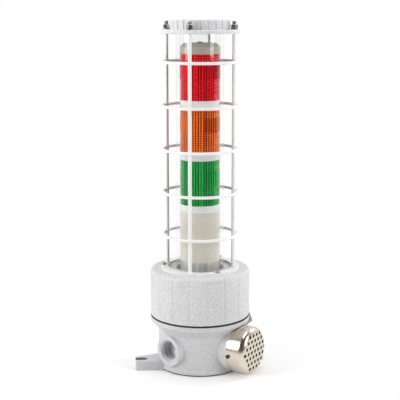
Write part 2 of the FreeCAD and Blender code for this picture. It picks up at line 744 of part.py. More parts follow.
def led_column(z, height):
    """Faceted column that carries the LEDs."""
    points = [polar(LED_COLUMN_R, 360 * (i + 0.5) / LED_FACES, z) for i in range(LED_FACES + 1)]
    return Part.Face(Part.makePolygon(points)).extrude(V(0, 0, height))


def led_board(z):
    """Round LED board with its column, seated on the module ring."""
    board = cylinder(BOARD_R, z, BOARD_T)
    column = led_column(z, LENS_H - LED_COLUMN_GAP)
    return board.fuse(column).cut(cylinder(TIE_HOLE_R, z, LENS_H))


def leds(z):
    """LEDs on the facets of a column."""
    face = LED_COLUMN_R * math.cos(math.pi / LED_FACES)
    chips = []
    for row in range(LED_ROWS):
        chip = front_box(face, face + LED_T, LED_SIZE, z + LED_FIRST_H + row * LED_PITCH, LED_SIZE)
        chips += around(chip, LED_FACES)
    return chips


def lens(z):
    """Coloured lens with two bands of fine ridges around it and a plain band between them."""
    corners = [corner(LAMP_R - LENS_T, z + LENS_H), corner(LAMP_R - LENS_T, z), corner(LAMP_R, z)]
    low = z + RIDGE_INSET
    high = z + LENS_H - RIDGE_INSET - RIDGE_HIGH_COUNT * RIDGE_PITCH
    for band, count in ((low, RIDGE_LOW_COUNT), (high, RIDGE_HIGH_COUNT)):
        for i in range(count):
            corners.append(corner(LAMP_R, band + i * RIDGE_PITCH))
            corners.append(corner(LAMP_R - RIDGE_DEPTH, band + (i + 0.5) * RIDGE_PITCH))
        corners.append(corner(LAMP_R, band + count * RIDGE_PITCH))
    corners.append(corner(LAMP_R, z + LENS_H))
    return revolve(corners)


def lamp_cap():
    """Chamfered cap of the tower, with a recess for the cap nut."""
    ceiling = LAMP_TOP - LAMP_CAP_CEILING_T
    return revolve(
        [
            corner(LAMP_BORE_R, LAMP_CAP_Z),
            corner(LAMP_R, LAMP_CAP_Z),
            corner(LAMP_R, LAMP_TOP - LAMP_CAP_CHAMFER, CAST_EDGE_R),
            corner(LAMP_R - LAMP_CAP_CHAMFER, LAMP_TOP),
            corner(CAP_NUT_RECESS_R, LAMP_TOP),
            corner(CAP_NUT_RECESS_R, CAP_NUT_Z),
            corner(TIE_HOLE_R, CAP_NUT_Z),
            corner(TIE_HOLE_R, ceiling),
            corner(LAMP_BORE_R, ceiling),
        ]
    )


def tie_rod():
    """Rod through the tower, from the nut under the foot's web to the cap nut."""
    foot = TIE_NUT_Z - TIE_ROD_SPARE
    return cylinder(TIE_ROD_R, foot, CAP_NUT_Z + CAP_NUT_HEX_H - foot)


def tie_rod_nut():
    """Nut under the web of the tower's foot."""
    return hexagon(NUT_FLATS, TIE_NUT_Z, TIE_NUT_H).cut(cylinder(TIE_ROD_R + TAP_GAP, TIE_NUT_Z, TIE_NUT_H))


def cap_nut():
    """Domed nut on the tie rod's upper end."""
    dome_r = CAP_NUT_FLATS / 2
    dome_top = CAP_NUT_Z + CAP_NUT_H
    dome = revolve(
        [
            corner(0, CAP_NUT_Z),
            corner(dome_r, CAP_NUT_Z),
            corner(dome_r, dome_top, CAP_NUT_DOME_R),
            corner(0, dome_top),
        ]
    )
    nut = dome.fuse(hexagon(CAP_NUT_FLATS, CAP_NUT_Z, CAP_NUT_HEX_H))
    return nut.cut(cylinder(TIE_ROD_R + TAP_GAP, CAP_NUT_Z, CAP_NUT_HEX_H + TAP_GAP))


def cover_gasket():
    """Flat gasket between the housing's flange and the cover."""
    return ring(COVER_R - GASKET_INSET, THREAD_R + GASKET_NECK_GAP, BASE_H, GASKET_T)


def cover():
    """Screw-on cover with grip grooves and the socket for the glass tube."""
    collar_r = SOCKET_R + COLLAR_T
    ceiling = COVER_TOP - COVER_TOP_T
    thread_top = NECK_TOP + THREAD_RELIEF_H
    body = revolve(
        [
            corner(THREAD_R, COVER_Z),
            corner(COVER_R, COVER_Z, CAST_EDGE_R),
            corner(COVER_R, COVER_TOP, COVER_SHOULDER_R),
            corner(SOCKET_R, COVER_TOP),
            corner(SOCKET_R, LEDGE_Z),
            corner(LEDGE_R, LEDGE_Z),
            corner(LEDGE_R, LEDGE_Z - LEDGE_T),
            corner(collar_r, LEDGE_Z - LEDGE_T),
            corner(collar_r, ceiling),
            corner(COVER_CAVITY_R, ceiling),
            corner(COVER_CAVITY_R, thread_top),
            corner(THREAD_R, thread_top),
        ]
    )
    groove = cylinder(GRIP_R, COVER_Z + GRIP_RIM_H, COVER_H)
    grooves = around(moved(groove, polar(COVER_R + GRIP_R - GRIP_DEPTH, 0)), GRIP_COUNT, GRIP_ANGLE)
    hole_l = FOOT_SCREW_L - FOOT_RING_T
    hole = cylinder(FOOT_SCREW_R + TAP_GAP, COVER_TOP - hole_l, hole_l)
    return body.cut(grooves + at_angles(hole, FOOT_SCREW_PCR, FOOT_SCREW_ANGLES))


def glass_tube():
    """Toughened glass tube between the cover and the top cap."""
    return ring(GLASS_R, GLASS_R - GLASS_T, GLASS_Z, GLASS_TOP - GLASS_Z)


def glass_seal(z):
    """Flat seal at one end of the glass tube."""
    return ring(GLASS_R, max(LEDGE_R, GLASS_R - GLASS_T), z, SEAL_T)


def top_cap():
    """Cast top cap: a flange for the guard rods and a fluted drum with the glass socket under it."""
    body = revolve(
        [
            corner(SOCKET_R, CAP_Z),
            corner(CAP_FLANGE_R, CAP_Z, CAST_EDGE_R),
            corner(CAP_FLANGE_R, CAP_FLANGE_TOP, CAST_EDGE_R),
            corner(DRUM_R, CAP_FLANGE_TOP),
            corner(DRUM_R, CAP_TOP, CAST_EDGE_R),
            corner(0, CAP_TOP),
            corner(0, CAP_TOP - DRUM_CEILING_T),
            corner(LEDGE_R, CAP_TOP - DRUM_CEILING_T),
            corner(LEDGE_R, SOCKET_TOP),
            corner(SOCKET_R, SOCKET_TOP),
        ]
    )
    flute = cylinder(FLUTE_R, CAP_FLANGE_TOP, DRUM_H)
    flutes = around(moved(flute, polar(DRUM_R + FLUTE_R - FLUTE_DEPTH, 0)), FLUTE_COUNT, FLUTE_ANGLE)
    rod_hole = moved(cylinder(ROD_R + HOLE_GAP, CAP_Z, CAP_FLANGE_T), polar(ROD_PCR, 0))
    return body.cut(flutes + around(rod_hole, ROD_COUNT, ROD_ANGLE))


def guard_rings():
    """Wire rings of the guard, from the lowest up."""
    first = COVER_TOP + RING_FIRST_H
    return [Part.makeTorus(RING_R, RING_WIRE_R, V(0, 0, first + i * RING_PITCH)) for i in range(RING_COUNT)]


def guard_rods():
    """Upright rods of the guard, notched where the rings are welded to them."""
    length = CAP_FLANGE_TOP + STUD_H - FOOT_RING_TOP
    rod = moved(cylinder(ROD_R, FOOT_RING_TOP, length), polar(ROD_PCR, 0))
    return [upright.cut(guard_rings()) for upright in around(rod, ROD_COUNT, ROD_ANGLE)]


def guard_foot_ring():
    """Flat ring that the rods stand on, screwed to the cover."""
    body = ring(FOOT_RING_R, FOOT_RING_HOLE_R, COVER_TOP, FOOT_RING_T)
    hole = cylinder(FOOT_SCREW_R + HOLE_GAP, COVER_TOP, FOOT_RING_T)
    return body.cut(at_angles(hole, FOOT_SCREW_PCR, FOOT_SCREW_ANGLES))


def guard_screws():
    """Screws that hold the guard's foot ring to the cover."""
    return at_angles(pan_screw(FOOT_SCREW_R, FOOT_SCREW_L), FOOT_SCREW_PCR, FOOT_SCREW_ANGLES, FOOT_RING_TOP)


def on_rods(shape):
    """Copies of a shape built on the axis, one on each rod."""
    return around(moved(shape, polar(ROD_PCR, 0)), ROD_COUNT, ROD_ANGLE)


def rod_washers():
    """Flat washers on the top cap's flange."""
    return on_rods(ring(WASHER_R, ROD_R + HOLE_GAP, CAP_FLANGE_TOP, WASHER_T))


def rod_spring_washers():
    """Split spring washers on the flat washers."""
    z = CAP_FLANGE_TOP + WASHER_T
    coil = ring(SPRING_WASHER_R, ROD_R + HOLE_GAP, z, SPRING_WASHER_T)
    return on_rods(coil.cut(front_box(0, SPRING_WASHER_R, SPRING_WASHER_SPLIT, z, SPRING_WASHER_T)))


def rod_nuts():
    """Hexagon nuts that pull the top cap down on the glass."""
    z = CAP_FLANGE_TOP + WASHER_T + SPRING_WASHER_T
    return on_rods(hexagon(NUT_FLATS, z, NUT_H).cut(cylinder(ROD_R + TAP_GAP, z, NUT_H)))


def all_nodes():
    """Every piece of the warning light by name."""
    nodes = {
        "base_housing": base_housing(),
        "cover_lock_screw": cover_lock_screw(),
        "sounder_body": sounder_body(),
        "flame_arrestor": flame_arrestor(),
        "sounder_retaining_ring": sounder_retaining_ring(),
        "sounder_cap": sounder_cap(),
        "sounder_cap_screws": sounder_cap_screws(),
        "terminal_block": terminal_block(),
        "terminal_screws": terminal_screws(),
        "terminal_block_screws": terminal_block_screws(),
        "earth_screw_inner": earth_screw_inner(),
        "earth_screw_outer": earth_screw_outer(),
        "lamp_plate": lamp_plate(),
        "lamp_plate_screws": lamp_plate_screws(),
        "lamp_base": lamp_base(),
        "lamp_base_screws": lamp_base_screws(),
        "lamp_lower_body": tower_cup(LOWER_BODY_Z, LOWER_BODY_H),
        "lamp_upper_body": tower_cup(UPPER_BODY_Z, UPPER_BODY_H),
        "driver_board": driver_board(),
        "lamp_cap": lamp_cap(),
        "tie_rod": tie_rod(),
        "tie_rod_nut": tie_rod_nut(),
        "cap_nut": cap_nut(),
        "cover_gasket": cover_gasket(),
        "cover": cover(),
        "glass_tube": glass_tube(),
        "lower_glass_seal": glass_seal(LEDGE_Z),
        "upper_glass_seal": glass_seal(GLASS_TOP),
        "top_cap": top_cap(),
        "guard_foot_ring": guard_foot_ring(),
        "guard_screws": guard_screws(),
        "rod_washers": rod_washers(),
        "rod_spring_washers": rod_spring_washers(),
        "rod_nuts": rod_nuts(),
    }
    for i, colour in enumerate(MODULE_COLOURS):
        ring_z = MODULE_Z + i * MODULE_H
        lens_z = ring_z + MODULE_RING_H
        nodes[f"module_ring_{colour}"] = module_ring(ring_z)
        nodes[f"led_board_{colour}"] = led_board(lens_z)
        nodes[f"leds_{colour}"] = leds(lens_z)
        nodes[f"lens_{colour}"] = lens(lens_z)
    for i, rod in enumerate(guard_rods(), 1):
        nodes[f"guard_rod_{i}"] = rod
    for i, hoop in enumerate(guard_rings(), 1):
        nodes[f"guard_ring_{i}"] = hoop
    return nodes


os.makedirs("parts", exist_ok=True)
for name, shape in all_nodes().items():
    if isinstance(shape, list):
        shape = Part.makeCompound(shape)
    shape.exportStep(f"parts/{name}.step")
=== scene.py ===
import json
import math

import bpy
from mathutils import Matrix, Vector


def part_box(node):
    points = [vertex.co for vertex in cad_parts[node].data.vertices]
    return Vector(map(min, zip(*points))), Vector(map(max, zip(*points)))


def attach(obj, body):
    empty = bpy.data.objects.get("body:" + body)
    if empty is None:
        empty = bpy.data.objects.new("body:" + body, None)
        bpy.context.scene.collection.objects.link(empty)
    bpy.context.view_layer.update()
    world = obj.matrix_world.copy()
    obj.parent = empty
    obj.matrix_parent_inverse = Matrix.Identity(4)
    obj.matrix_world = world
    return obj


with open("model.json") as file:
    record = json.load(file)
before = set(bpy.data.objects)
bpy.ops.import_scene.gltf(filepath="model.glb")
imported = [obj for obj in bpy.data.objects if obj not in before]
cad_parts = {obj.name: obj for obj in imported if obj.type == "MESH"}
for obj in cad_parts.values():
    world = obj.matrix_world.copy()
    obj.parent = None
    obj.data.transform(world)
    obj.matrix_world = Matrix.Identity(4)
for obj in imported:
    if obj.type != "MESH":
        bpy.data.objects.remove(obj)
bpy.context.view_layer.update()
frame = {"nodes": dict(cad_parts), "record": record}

# Explosion-proof warning light: finishes for every piece of the frame, and the fine detail on them:
# threads, a wire bush, weld fillets and lens ribs. Metres, in the frame's own axes.

NODES = frame["nodes"]
MOUNTS = {mount["name"]: mount for mount in frame["record"]["mounts"]}
COLOURS = ("green", "amber", "red")
ROD_COUNT = 4
RING_COUNT = 5

# Camera
IMAGE_PX = 400
FOCAL_PX = 1014.2
SENSOR_MM = 36.0
CAMERA_AZIMUTH = math.radians(-3.0)
CAMERA_PITCH = math.radians(10.7)
CAMERA_REACH = 1.2605
CAMERA_HEIGHT = 0.4537

# All added meshes: how far they sink into the piece they sit on, and how they are cleaned
SINK = 0.0001
MERGE_REACH = 1e-7
HOLE_SIDES = 4
SMOOTH_ANGLE = math.radians(35.0)

# Threads, with the half widths of a ridge as shares of the pitch
NECK_R = 0.055
NECK_THREAD_DEPTH = 0.00025
NECK_PITCH = 0.002
ENTRY_THREAD_DEPTH = 0.00116
ENTRY_PITCH = 0.00181
STUD_THREAD_DEPTH = 0.00025
STUD_PITCH = 0.0007
THREAD_STEPS = 48
CREST_SHARE = 0.14
FOOT_SHARE = 0.45

# Wire bush behind the conduit thread
BUSH_R = 0.0155
BUSH_HOLE_R = 0.005
BUSH_T = 0.002
BUSH_EDGE = 0.0005
BUSH_EDGE_STEPS = 3
BUSH_SIDES = 72

# Guard welds
WELD_REACH = 0.005
WELD_VOXEL = 0.0004
WELD_SWELL = 0.00018
WELD_END = 0.86
WELD_END_FACING = 0.95
WELD_END_REACH = 0.3 * WELD_REACH
WELD_SIDES = 24
WELD_STEPS = 6
WELD_SOFTNESS = 0.5
WELD_SOFT_ROUNDS = 5
BEAD_R = 0.0011
BEAD_OFFSET = 0.4 * BEAD_R
BEAD_WAVE = 0.0003
BEAD_WAVE_SIZE = 2 * BEAD_R
BEAD_SEGMENTS = (48, 14)

# Lenses. Each rib has a few vertices; RIB_PINCH gives a share of its depth and the vertices at it
LENS_WALL = 0.0026
RIB_COUNT = 46
RIB_VERTICES = 4
RIB_PINCH = ((1.0, (0,)), (0.55, (1, 3)))
RIB_DEPTH = 0.0014
RIB_WALL = 0.0006
RIB_GAP = 0.0002
RIDGE_PITCH = 0.0028
RIDGE_INSET = 0.001
RIDGE_LOW_COUNT = 9
RIDGE_HIGH_COUNT = 4
# Emission of the lenses and their ribs: a painted glow for light through the plastic
LENS_PAINTED_GLOW = 0.4
LENS_SPECULAR = 0.16
LENS_BODY = 0.88
PLAIN_CLEAR = 0.2
LENS_CLOUD = 70.0
RIB_CLOUD = 90.0
LENS_TINTS = {"red": (0.97, 0.25, 0.3), "amber": (0.98, 0.55, 0.18), "green": (0.3, 0.93, 0.5)}
# Deep and bright colours of each lens, the shaded and lit ends of its painted stripes
LENS_COLOURS = {
    "red": ((0.14, 0.0, 0.002), (0.95, 0.006, 0.018)),
    "amber": ((0.12, 0.006, 0.0), (1.0, 0.2, 0.006)),
    "green": ((0.0, 0.07, 0.02), (0.02, 0.44, 0.07)),
}

# Painted stripes of light and shade on the lenses, for the light through their ribs
WAVE_TONE = 0.8
STREAK_TONE = 1.5
STRIPE_SHIFT = 0.66
STRIPE_TONE = (0.25, 0.65)
STREAK_SIZE = (1.0, 1.0, 0.02)
STREAK_SCALE = 190.0
STREAK_DETAIL = 1.0
PLAIN_SHADE = 0.1
VALLEY_SHADE = 0.55
BOARD_EDGE = (-0.006, 0.014)
BOARD_SHADE = {"red": 0.13, "amber": 0.2, "green": 0.0}

# Roughness of the finishes: the least, and what their noise adds
PAINT_ROUGH = (0.36, 0.22)
ENAMEL_ROUGH = (0.22, 0.18)
LENS_ROUGH = (0.1, 0.1)
RIB_ROUGH = (0.25, 0.15)
GLASS_ROUGH = (0.01, 0.03)
GRAIN_ROUGH = 0.12

# Depth and strength of the bumps
PEEL_BUMP = (0.0001, 0.5)
MARK_BUMP = (0.00002, 0.3)
GRAIN_BUMP = (0.00004, 0.4)
PAINT_BUMP = 0.8

# Hammered paint: cells, a grain finer than the cells, and clouds
CELL_SOFTNESS = 0.6
PAINT_GRAIN = 2.2
PAINT_DETAIL = 3.0
PAINT_CLOUD = 18.0
PAINT_TONE = (0.2, 0.75)
CELL_TONE = 0.55
GRAIN_TONE = 0.6
CLOUD_TONE = 0.25
TONE_SHIFT = 0.1
CELL_RISE = 0.7
GRAIN_RISE = 0.5

# White enamel, with painted shade on the guard's inner sides
PEEL_SCALE = 420.0
PEEL_DETAIL = 3.0
ENAMEL_CLOUD = 35.0
ENAMEL_WHITES = ((0.83, 0.83, 0.83), (0.9, 0.9, 0.9))
ENAMEL_INSIDE_SHADE = (0.5, 0.5, 0.51)
ENAMEL_COAT = 0.25
ENAMEL_COAT_ROUGH = 0.1
INNER_SHADE_SIDE = (-0.75, 0.0)

# Steel
MARK_SIZE = (1.0, 1.0, 6.0)
MARK_SCALE = 260.0
MARK_DETAIL = 4.0
STEEL_CLOUD = 60.0
STEEL_SHADE = 0.9

# Plastic
GRAIN_SCALE = 900.0
PLASTIC_CLOUD = 40.0
CLOUD_SHARE = 0.7
GRAIN_SHARE = 0.3
# Contrast of the upright painted highlight streaks
HIGHLIGHT_STREAK_TONE = (0.35, 0.65)

# Glass tube
GLASS_TINT = (0.985, 0.99, 0.985)
GLASS_SMEAR = 25.0
GLASS_SHEEN = 0.032
GLASS_EDGE = 0.88
GLASS_EDGE_POWER = 5.0
# Cement on the glass foot, painted pale as light where the socket is in shade
CEMENT_PAINTED_LIGHT = (0.72, 0.72, 0.7)

# Painted shade on the housing and the cover: a contact shadow on the foot, shadow lines beside the gasket,
# shade in the lug slots and on the lock tab
FOOT_LINE = 0.0018
FOOT_R = 0.0545
SEAM = 0.0005
SLOT_R = 0.0046
SLOT_SHADE = 0.65
TAB_R = 0.0637
TAB_Z = 0.03
TAB_SHADE = 0.5
# Colour of the painted shade
PAINTED_SHADE = (0.06, 0.06, 0.06)

# Studio. Each softbox: degrees round from the camera, distance, height, size and power
SOFTBOXES = {
    "left_softbox": (-68.0, 1.5, 0.72, (0.9, 0.9), 15.0),
    "right_softbox": (62.0, 1.6, 0.72, (0.7, 0.9), 11.5),
    "right_rim": (118.0, 1.6, 1.15, (0.6, 0.9), 7.0),
    "top_softbox": (0.0, 0.1, 1.6, (0.9, 0.9), 7.0),
}
LIGHT_AIM = Vector((0.0, 0.0, 0.2))
BACKDROP_EDGE = (-0.3, 0.5)
BACKDROP_LIGHT = 0.85
ROOM_LIGHT = 0.25
ROOM_MIRROR = 0.06
FLOOR_R = 4.0
FLOOR_SIDES = 96
FLOOR_TONE = (0.8, 0.8, 0.8)
FLOOR_FADE = (0.07, 0.22)
FLOOR_END = (0.5, 1.2)
FLOOR_GLOW = 0.14
FLOOR_DIM = 0.85
WHITE = (1.0, 1.0, 1.0)


class Shade:
    """One socket of a material. Arithmetic on it adds Math nodes, and node() adds any other node."""

    def __init__(self, tree, socket=None):
        self.tree = tree
        self.socket = socket

    def node(self, kind, settings=(), sockets=(), output=0):
        """Adds a node: its settings first, then the values or links of its sockets."""
        made = self.tree.nodes.new(kind)
        for key, value in dict(settings).items():
            setattr(made, key, value)
        for key, value in dict(sockets).items():
            if isinstance(value, Shade):
                self.tree.links.new(value.socket, made.inputs[key])
            else:
                made.inputs[key].default_value = value
        return Shade(self.tree, made.outputs[output] if made.outputs else None)

    def math(self, operation, first, second=0.0):
        """Adds one Math node."""
        return self.node("ShaderNodeMath", {"operation": operation}, {0: first, 1: second})

    def __add__(self, other):
        return self.math("ADD", self, other)

    def __sub__(self, other):
        return self.math("SUBTRACT", self, other)

    def __rsub__(self, other):
        return self.math("SUBTRACT", other, self)

    def __mul__(self, other):
        return self.math("MULTIPLY", self, other)

    def __truediv__(self, other):
        return self.math("DIVIDE", self, other)

    def __gt__(self, other):
        return self.math("GREATER_THAN", self, other)

    def __lt__(self, other):
        return self.math("LESS_THAN", self, other)

    __radd__ = __add__


def new_finish(name):
    """Starts a material and gives a shade with no socket yet."""
    material = bpy.data.materials.new(name)
    material.use_nodes = True
    material.node_tree.nodes.clear()
    return material, Shade(material.node_tree)


def close_finish(shade, surface):
    """Links a surface to the material's output."""
    shade.node("ShaderNodeOutputMaterial", (), {"Surface": surface})


def object_place(shade):
    """Object coordinates."""
    return shade.node("ShaderNodeTexCoord", (), (), "Object")


def along(shade, place, axis):
    """One coordinate of a place."""
    return shade.node("ShaderNodeSeparateXYZ", (), {"Vector": place}, axis)


def vector_math(shade, operation, sockets, output="Vector"):
    """One Vector Math node."""
    return shade.node("ShaderNodeVectorMath", {"operation": operation}, dict(enumerate(sockets)), output)


def noise(shade, vector, scale, detail=2.0):
    """Noise from 0 to 1."""
    sockets = {"Vector": vector, "Scale": scale, "Detail": detail}
    return shade.node("ShaderNodeTexNoise", (), sockets, "Fac")


def cells(shade, vector, scale):
    """Rounded cells, 0 at each middle."""
    sockets = {"Vector": vector, "Scale": scale, "Smoothness": CELL_SOFTNESS}
    return shade.node("ShaderNodeTexVoronoi", {"feature": "SMOOTH_F1"}, sockets, "Distance")


def stretched(shade, vector, size):
    """Coordinates scaled along each axis."""
    return shade.node("ShaderNodeMapping", (), {"Vector": vector, "Scale": size})


def rise(shade, value, low, high, kind="SMOOTHSTEP"):
    """0 below one value and 1 above another."""
    return shade.node("ShaderNodeMapRange", {"interpolation_type": kind}, {0: value, 1: low, 2: high})


def raised(least, extra, value):
    """A least value and what a noise adds to it."""
    return least + value * extra


def colour(value):
    """A colour with its alpha, unless it is a link."""
    return value if isinstance(value, Shade) else (*value, 1.0)


def blend(shade, factor, first, second):
    """One colour to another."""
    sockets = {"Factor": factor, 6: colour(first), 7: colour(second)}
    return shade.node("ShaderNodeMix", {"data_type": "RGBA"}, sockets, 2)


def mix_surfaces(shade, factor, first, second):
    """One surface to another."""
    return shade.node("ShaderNodeMixShader", (), {0: factor, 1: first, 2: second})


def bump(shade, height, distance, strength):
    """Bump from a height."""
    return shade.node("ShaderNodeBump", (), {"Height": height, "Distance": distance, "Strength": strength})


def principled(shade, sockets):
    """The surface shader and the material's output."""
    close_finish(shade, shade.node("ShaderNodeBsdfPrincipled", (), sockets))


def housing_painted_shade(shade, place):
    """How much painted shade darkens the housing's paint.

    Most on the bottom edge, a painted contact shadow, and beside the gasket, a painted shadow line; less
    in the lug slots and on the lock tab, painted as in shade.
    """
    x, y, z = (along(shade, place, axis) for axis in "XYZ")
    slot_x, slot_y = (abs(value) for value in MOUNTS["lug_slot_left"]["pos_m"][:2])
    inwards = shade.math("MAXIMUM", slot_x - shade.math("ABSOLUTE", x), 0.0)
    aside = shade.math("ABSOLUTE", y) - slot_y
    # Painted shade on the walls of the lug slots
    slot = shade.math("SQRT", inwards * inwards + aside * aside) < SLOT_R
    reach = shade.math("SQRT", x * x + y * y)
    # Painted shade on the lock tab
    tab = (reach > TAB_R) * (z > TAB_Z)
    gasket_low, gasket_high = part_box("cover_gasket")
    # Painted shadow line beside the gasket
    seam = (z > gasket_low.z - SEAM) * (reach > gasket_high.x - SEAM) * (reach < TAB_R)
    # Painted contact shadow along the bottom edge
    foot = (z < FOOT_LINE) * (reach < FOOT_R)
    return shade.math("MAXIMUM", slot * SLOT_SHADE + tab * TAB_SHADE, shade.math("MAXIMUM", seam, foot))


def cover_painted_shade(shade, place):
    """Painted shadow line on the cover's lower edge, beside its gasket."""
    return along(shade, place, "Z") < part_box("cover_gasket")[1].z + SEAM


def hammered_paint(name, dark, light, cell, depth, shade_mask=None):
    """Grey hammered enamel on a casting, with painted shade where a mask gives it."""
    material, s = new_finish(name)
    place = object_place(s)
    dimple = cells(s, place, 1.0 / cell)
    grain = noise(s, place, PAINT_GRAIN / cell, PAINT_DETAIL)
    cloud = noise(s, place, PAINT_CLOUD)
    tone = dimple * CELL_TONE + grain * GRAIN_TONE + (cloud - 0.5) * CLOUD_TONE - TONE_SHIFT
    paint = blend(s, rise(s, tone, *PAINT_TONE, "LINEAR"), dark, light)
    # Painted shade where the mask gives it
    if shade_mask:
        paint = blend(s, shade_mask(s, place), paint, PAINTED_SHADE)
    principled(
        s,
        {
            "Base Color": paint,
            "Roughness": raised(*PAINT_ROUGH, grain),
            "Normal": bump(s, dimple * CELL_RISE + grain * GRAIN_RISE, depth, PAINT_BUMP),
        },
    )
    return material


def white_enamel(name):
    """White enamel on the wire guard, with painted shade that leaves its inner sides greyer."""
    material, s = new_finish(name)
    place = object_place(s)
    peel = noise(s, place, PEEL_SCALE, PEEL_DETAIL)
    cloud = noise(s, place, ENAMEL_CLOUD)
    # Painted shade: the sides that face the axis turn greyer
    radius = vector_math(s, "MULTIPLY", (place, (1.0, 1.0, 0.0)))
    outwards = vector_math(s, "NORMALIZE", (radius,))
    normal = s.node("ShaderNodeTexCoord", (), (), "Normal")
    side = vector_math(s, "DOT_PRODUCT", (normal, outwards), "Value")
    unshaded = rise(s, side, *INNER_SHADE_SIDE)
    principled(
        s,
        {
            "Base Color": blend(s, unshaded, ENAMEL_INSIDE_SHADE, blend(s, cloud, *ENAMEL_WHITES)),
            "Roughness": raised(*ENAMEL_ROUGH, peel),
            "Coat Weight": ENAMEL_COAT,
            "Coat Roughness": ENAMEL_COAT_ROUGH,
            "Normal": bump(s, peel, *PEEL_BUMP),
        },
    )
    return material


def polished_steel(name, tint, shine, scratch):
    """Polished or drawn metal with faint marks."""
    material, s = new_finish(name)
    place = object_place(s)
    marks = noise(s, stretched(s, place, MARK_SIZE), MARK_SCALE, MARK_DETAIL)
    cloud = noise(s, place, STEEL_CLOUD)
    shade_tint = tuple(channel * STEEL_SHADE for channel in tint)
    principled(
        s,
        {
            "Base Color": blend(s, cloud, shade_tint, tint),
            "Metallic": 1.0,
            "Roughness": raised(shine, scratch, marks),
            "Normal": bump(s, marks, *MARK_BUMP),
        },
    )
    return material


def moulded_plastic(name, dark, light, rough, coat=0.0, streak_stretch=1.0):
    """Moulded plastic with a faint grain; where its streak stretch is below 1, its clouds are drawn out
    upwards into painted highlight streaks.
    """
    material, s = new_finish(name)
    place = object_place(s)
    grain = noise(s, place, GRAIN_SCALE)
    cloud = noise(s, stretched(s, place, (1.0, 1.0, streak_stretch)), PLASTIC_CLOUD / math.sqrt(streak_stretch))
    # Painted highlight streaks, drawn out upwards
    if streak_stretch < 1.0:
        cloud = rise(s, cloud, *HIGHLIGHT_STREAK_TONE, "LINEAR")
    principled(
        s,
        {
            "Base Color": blend(s, cloud * CLOUD_SHARE + grain * GRAIN_SHARE, dark, light),
            "Roughness": raised(rough, GRAIN_ROUGH, grain),
            "Coat Weight": coat,
            "Normal": bump(s, grain, *GRAIN_BUMP),
        },
    )
    return material


def lens_stripes(shade, place, plain, colour_name):
    """Painted stripes of light and shade on a lens, 1 at the bright crest of each rib, duller in the plain
    band.

    Painted shade darkens the half of the plain band that the board stands behind.
    """
    x, y = (along(shade, place, axis) for axis in "XY")
    wave = shade.math("COSINE", shade.math("ARCTAN2", y, x) * RIB_COUNT) * 0.5 + 0.5
    streak = noise(shade, stretched(shade, place, STREAK_SIZE), STREAK_SCALE, STREAK_DETAIL)
    behind = rise(shade, x, *BOARD_EDGE)
    shadow = plain * raised(PLAIN_SHADE, BOARD_SHADE[colour_name], behind)
    tone = wave * WAVE_TONE + streak * STREAK_TONE - STRIPE_SHIFT - shadow
    return rise(shade, tone, *STRIPE_TONE, "LINEAR")


def lens_bands(shade, place, colour_name):
    """1 in a lens's plain band, and 1 in the valley of each ridge outside that band."""
    low, high = (corner.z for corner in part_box(f"lens_{colour_name}"))
    first = low + RIDGE_INSET
    band_low = first + RIDGE_LOW_COUNT * RIDGE_PITCH
    band_high = high - RIDGE_INSET - RIDGE_HIGH_COUNT * RIDGE_PITCH
    z = along(shade, place, "Z")
    above = z > band_high
    plain = (z > band_low) * (1.0 - above)
    phase = (z - first - above * (band_high - first)) / RIDGE_PITCH
    valley = 0.5 - shade.math("COSINE", phase * math.tau) * 0.5
    return plain, valley * (1.0 - plain)


def lens_plastic(colour_name, deep, bright):
    """Coloured plastic of a lens, clearer in the plain band between its ridges, with painted stripes of
    light and shade and painted shade in the ridges' valleys.
    """
    material, s = new_finish(f"{colour_name}_lens_plastic")
    place = object_place(s)
    plain, valley = lens_bands(s, place, colour_name)
    # Painted shade in the valleys of the ridges
    tone = lens_stripes(s, place, plain, colour_name) * (1.0 - valley * VALLEY_SHADE)
    lit = blend(s, tone, deep, bright)
    clear = s.node("ShaderNodeBsdfTransparent", (), {"Color": colour(LENS_TINTS[colour_name])})
    surface = s.node(
        "ShaderNodeBsdfPrincipled",
        (),
        {
            "Base Color": lit,
            "Roughness": raised(*LENS_ROUGH, noise(s, place, LENS_CLOUD)),
            "Specular IOR Level": LENS_SPECULAR,
            # Painted glow: the lens glows though it is no lamp
            "Emission Color": lit,
            "Emission Strength": LENS_PAINTED_GLOW,
        },
    )
    close_finish(s, mix_surfaces(s, LENS_BODY - plain * PLAIN_CLEAR, clear, surface))
    return material


def rib_plastic(colour_name, deep, bright):
    """Coloured plastic of the ribs inside a lens, with painted light at each crest and painted shade
    between them.
    """
    material, s = new_finish(f"{colour_name}_rib_plastic")
    place = object_place(s)
    plain = lens_bands(s, place, colour_name)[0]
    lit = blend(s, lens_stripes(s, place, plain, colour_name), deep, bright)
    principled(
        s,
        {
            "Base Color": lit,
            "Roughness": raised(*RIB_ROUGH, noise(s, place, RIB_CLOUD)),
            # Painted glow: the ribs glow though they are no lamp
            "Emission Color": lit,
            "Emission Strength": LENS_PAINTED_GLOW,
        },
    )
    return material


def tube_glass(name):
    """Clear toughened glass: a thin mirror over what is behind it, with cement on its foot painted pale,
    as light over the shaded socket.
    """
    material, s = new_finish(name)
    place = object_place(s)
    smear = raised(*GLASS_ROUGH, noise(s, place, GLASS_SMEAR))
    clear = s.node("ShaderNodeBsdfTransparent", (), {"Color": colour(GLASS_TINT)})
    mirror = s.node("ShaderNodeBsdfGlossy", (), {"Color": colour(WHITE), "Roughness": smear})
    facing = s.node("ShaderNodeLayerWeight", (), (), "Facing")
    sheen = raised(GLASS_SHEEN, GLASS_EDGE, s.math("POWER", facing, GLASS_EDGE_POWER))
    tube = mix_surfaces(s, sheen, clear, mirror)
    # Cement painted pale, as light where the socket behind the glass is in shade
    cement = s.node("ShaderNodeBsdfDiffuse", (), {"Color": colour(CEMENT_PAINTED_LIGHT)})
    in_cover = along(s, place, "Z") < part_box("cover")[1].z
    close_finish(s, mix_surfaces(s, in_cover, tube, cement))
    return material


